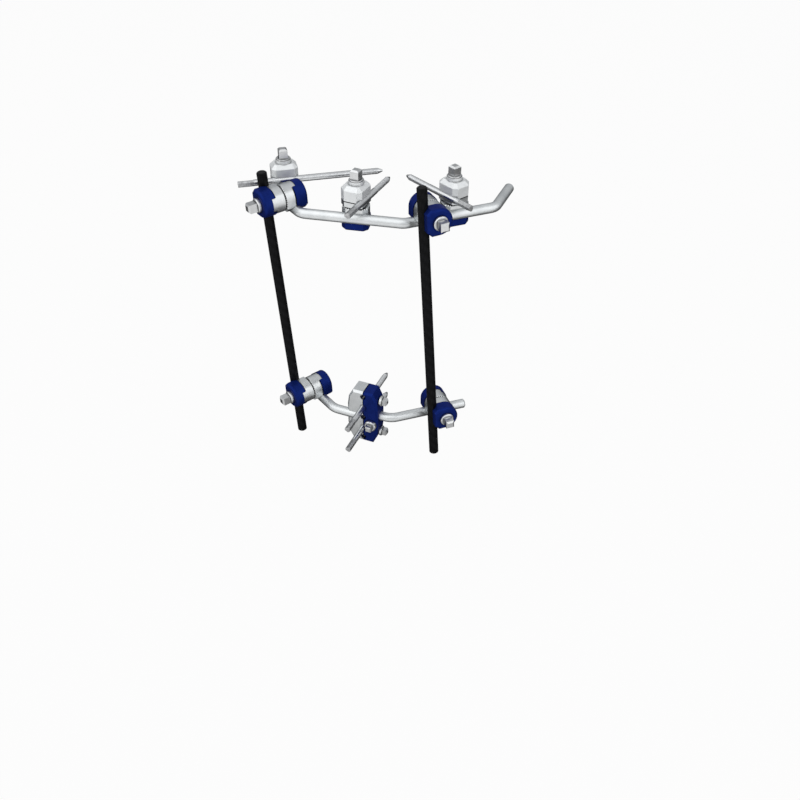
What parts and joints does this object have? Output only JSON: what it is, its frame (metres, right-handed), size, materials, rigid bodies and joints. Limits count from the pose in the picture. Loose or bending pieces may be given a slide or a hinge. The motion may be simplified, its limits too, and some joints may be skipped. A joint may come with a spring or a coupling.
{
  "type": "external fixator",
  "caption": "External fixation frame: bent arch rod with clamped pins, straight carbon rods, bent lower posts and a multi-pin clamp, joined by two-sided rod clamps.",
  "frame": {"origin": "where the axis of the held limb crosses the level of the three upper pins", "axes": "+Z along the limb towards the arch's side, square to the plane of the arch rod; +X along the arch's straight middle towards its free right leg; +Y from the arch's middle to its open side"},
  "size_m": [0.2081, 0.1245, 0.2569],
  "materials": {
    "carbon_fibre": "dark woven carbon fibre rod with a smooth clear skin",
    "bent_rod": "satin drawn rod",
    "blue_jaw": "deep blue anodised",
    "plain_jaw": "bead-blasted, lightly polished",
    "bolt_steel": "turned and ground",
    "pin_steel": "ground, with a duller flatted end"
  },
  "bodies": {
    "arch": {"arch_rod": "bent_rod", "upper_left_clamp_near_inner_jaw": "plain_jaw", "upper_left_clamp_near_outer_jaw": "blue_jaw", "upper_left_clamp_far_inner_jaw": "plain_jaw", "upper_left_clamp_far_outer_jaw": "blue_jaw", "upper_right_clamp_near_inner_jaw": "plain_jaw", "upper_right_clamp_near_outer_jaw": "blue_jaw", "upper_right_clamp_far_inner_jaw": "plain_jaw", "upper_right_clamp_far_outer_jaw": "blue_jaw"},
    "left_rod": {"left_carbon_rod": "carbon_fibre"},
    "right_rod": {"right_carbon_rod": "carbon_fibre"},
    "lower_frame": {"lower_left_clamp_near_inner_jaw": "plain_jaw", "lower_left_clamp_near_outer_jaw": "blue_jaw", "lower_left_clamp_far_inner_jaw": "plain_jaw", "lower_left_clamp_far_outer_jaw": "blue_jaw", "lower_right_clamp_near_inner_jaw": "plain_jaw", "lower_right_clamp_near_outer_jaw": "blue_jaw", "lower_right_clamp_far_inner_jaw": "plain_jaw", "lower_right_clamp_far_outer_jaw": "blue_jaw", "left_post": "bent_rod", "right_post": "bent_rod", "multipin_left_jaw": "plain_jaw", "multipin_right_jaw": "blue_jaw"},
    "upper_left_bolt": {"upper_left_clamp_bolt": "bolt_steel"},
    "upper_right_bolt": {"upper_right_clamp_bolt": "bolt_steel"},
    "lower_left_bolt": {"lower_left_clamp_bolt": "bolt_steel"},
    "lower_right_bolt": {"lower_right_clamp_bolt": "bolt_steel"},
    "left_clamp_rod_half": {"left_pin_clamp_rod_inner_jaw": "plain_jaw", "left_pin_clamp_rod_outer_jaw": "blue_jaw"},
    "left_clamp_pin_half": {"left_pin_clamp_pin_inner_jaw": "plain_jaw", "left_pin_clamp_pin_outer_jaw": "plain_jaw"},
    "left_clamp_bolt": {"left_pin_clamp_bolt": "bolt_steel"},
    "left_pin": {"upper_left_pin": "pin_steel"},
    "middle_clamp_rod_half": {"middle_pin_clamp_rod_inner_jaw": "plain_jaw", "middle_pin_clamp_rod_outer_jaw": "blue_jaw"},
    "middle_clamp_pin_half": {"middle_pin_clamp_pin_inner_jaw": "plain_jaw", "middle_pin_clamp_pin_outer_jaw": "plain_jaw"},
    "middle_clamp_bolt": {"middle_pin_clamp_bolt": "bolt_steel"},
    "middle_pin": {"upper_middle_pin": "pin_steel"},
    "right_clamp_rod_half": {"right_pin_clamp_rod_inner_jaw": "plain_jaw", "right_pin_clamp_rod_outer_jaw": "blue_jaw"},
    "right_clamp_pin_half": {"right_pin_clamp_pin_inner_jaw": "plain_jaw", "right_pin_clamp_pin_outer_jaw": "plain_jaw"},
    "right_clamp_bolt": {"right_pin_clamp_bolt": "bolt_steel"},
    "right_pin": {"upper_right_pin": "pin_steel"},
    "multipin_upper_bolt_body": {"multipin_upper_bolt": "bolt_steel"},
    "multipin_lower_bolt_body": {"multipin_lower_bolt": "bolt_steel"},
    "left_post_screw": {"multipin_left_post_screw": "bolt_steel"},
    "right_post_screw": {"multipin_right_post_screw": "bolt_steel"},
    "lower_upper_pin_body": {"lower_upper_pin": "pin_steel"},
    "lower_lower_pin_body": {"lower_lower_pin": "pin_steel"}
  },
  "joints": [
    {"name": "left_rod_slide", "type": "slide", "parent": "arch", "child": "left_rod", "axis": [-0.068, 0, 0.9977], "range_m": [-0.006, 0.035]},
    {"name": "right_rod_slide", "type": "slide", "parent": "arch", "child": "right_rod", "axis": [-0.068, 0, 0.9977], "range_m": [-0.012, 0.029]},
    {"name": "lower_frame_slide", "type": "slide", "parent": "arch", "child": "lower_frame", "axis": [-0.068, 0, 0.9977], "range_m": [-0.029, 0.138]},
    {"name": "upper_left_bolt_turn", "type": "hinge", "parent": "arch", "child": "upper_left_bolt", "pos_m": [-0.07935, -0.05693, -0.00439], "axis": [-0.6939, -0.7185, -0.0473], "range_deg": [-30, 360]},
    {"name": "upper_right_bolt_turn", "type": "hinge", "parent": "arch", "child": "upper_right_bolt", "pos_m": [0.03643, -0.05834, -0.00371], "axis": [0.5443, -0.8381, 0.0371], "range_deg": [-30, 360]},
    {"name": "lower_left_bolt_turn", "type": "hinge", "parent": "lower_frame", "child": "lower_left_bolt", "pos_m": [-0.06697, -0.05651, -0.18587], "axis": [-0.6684, -0.7424, -0.0456], "range_deg": [-30, 360]},
    {"name": "lower_right_bolt_turn", "type": "hinge", "parent": "lower_frame", "child": "lower_right_bolt", "pos_m": [0.04941, -0.05852, -0.18523], "axis": [0.4997, -0.8655, 0.0341], "range_deg": [-30, 360]},
    {"name": "left_clamp_slide", "type": "slide", "parent": "arch", "child": "left_clamp_rod_half", "axis": [-0.7193, 0.6947, 0], "range_m": [-0.0005, 0.012]},
    {"name": "left_clamp_swivel", "type": "hinge", "parent": "left_clamp_rod_half", "child": "left_clamp_pin_half", "pos_m": [-0.08466, -0.02759, -0.005], "axis": [0, 0, 1], "range_deg": [-2, 14]},
    {"name": "left_bolt_turn", "type": "hinge", "parent": "left_clamp_rod_half", "child": "left_clamp_bolt", "pos_m": [-0.08466, -0.02759, -0.005], "axis": [0, 0, 1], "range_deg": [-30, 360]},
    {"name": "left_pin_slide", "type": "slide", "parent": "left_clamp_pin_half", "child": "left_pin", "axis": [0.9048, 0.4258, 0], "range_m": [-0.06, 0.004]},
    {"name": "middle_clamp_slide", "type": "slide", "parent": "arch", "child": "middle_clamp_rod_half", "axis": [1, 0, 0], "range_m": [-0.004, 0.005]},
    {"name": "middle_clamp_swivel", "type": "hinge", "parent": "middle_clamp_rod_half", "child": "middle_clamp_pin_half", "pos_m": [-0.0208, -0.0525, -0.005], "axis": [0, 0, 1], "range_deg": [-3, 3]},
    {"name": "middle_bolt_turn", "type": "hinge", "parent": "middle_clamp_rod_half", "child": "middle_clamp_bolt", "pos_m": [-0.0208, -0.0525, -0.005], "axis": [0, 0, 1], "range_deg": [-30, 360]},
    {"name": "middle_pin_slide", "type": "slide", "parent": "middle_clamp_pin_half", "child": "middle_pin", "axis": [0.2317, 0.9728, 0], "range_m": [-0.026, 0.001]},
    {"name": "right_clamp_slide", "type": "slide", "parent": "arch", "child": "right_clamp_rod_half", "axis": [0.8387, 0.5446, 0], "range_m": [-0.003, 0.01]},
    {"name": "right_clamp_swivel", "type": "hinge", "parent": "right_clamp_rod_half", "child": "right_clamp_pin_half", "pos_m": [0.0495, -0.02999, -0.005], "axis": [0, 0, 1], "range_deg": [-18, 2]},
    {"name": "right_bolt_turn", "type": "hinge", "parent": "right_clamp_rod_half", "child": "right_clamp_bolt", "pos_m": [0.0495, -0.02999, -0.005], "axis": [0, 0, 1], "range_deg": [-30, 360]},
    {"name": "right_pin_slide", "type": "slide", "parent": "right_clamp_pin_half", "child": "right_pin", "axis": [-0.7771, 0.6293, 0], "range_m": [-0.032, 0.002]},
    {"name": "multipin_upper_bolt_turn", "type": "hinge", "parent": "lower_frame", "child": "multipin_upper_bolt_body", "pos_m": [-0.012, -0.068, -0.178], "axis": [0.9816, -0.1908, 0], "range_deg": [-30, 360]},
    {"name": "multipin_lower_bolt_turn", "type": "hinge", "parent": "lower_frame", "child": "multipin_lower_bolt_body", "pos_m": [-0.012, -0.068, -0.211], "axis": [0.9816, -0.1908, 0], "range_deg": [-30, 360]},
    {"name": "left_post_screw_turn", "type": "hinge", "parent": "lower_frame", "child": "left_post_screw", "pos_m": [-0.02228, -0.066, -0.1945], "axis": [0.1908, 0.9816, 0], "range_deg": [-30, 360]},
    {"name": "right_post_screw_turn", "type": "hinge", "parent": "lower_frame", "child": "right_post_screw", "pos_m": [-0.00493, -0.06937, -0.2007], "axis": [-0.1908, -0.9816, 0], "range_deg": [-30, 360]},
    {"name": "lower_upper_pin_slide", "type": "slide", "parent": "lower_frame", "child": "lower_upper_pin_body", "axis": [0.1908, 0.9816, 0], "range_m": [-0.03, 0.01]},
    {"name": "lower_lower_pin_slide", "type": "slide", "parent": "lower_frame", "child": "lower_lower_pin_body", "axis": [0.1908, 0.9816, 0], "range_m": [-0.03, 0.01]}
  ]
}
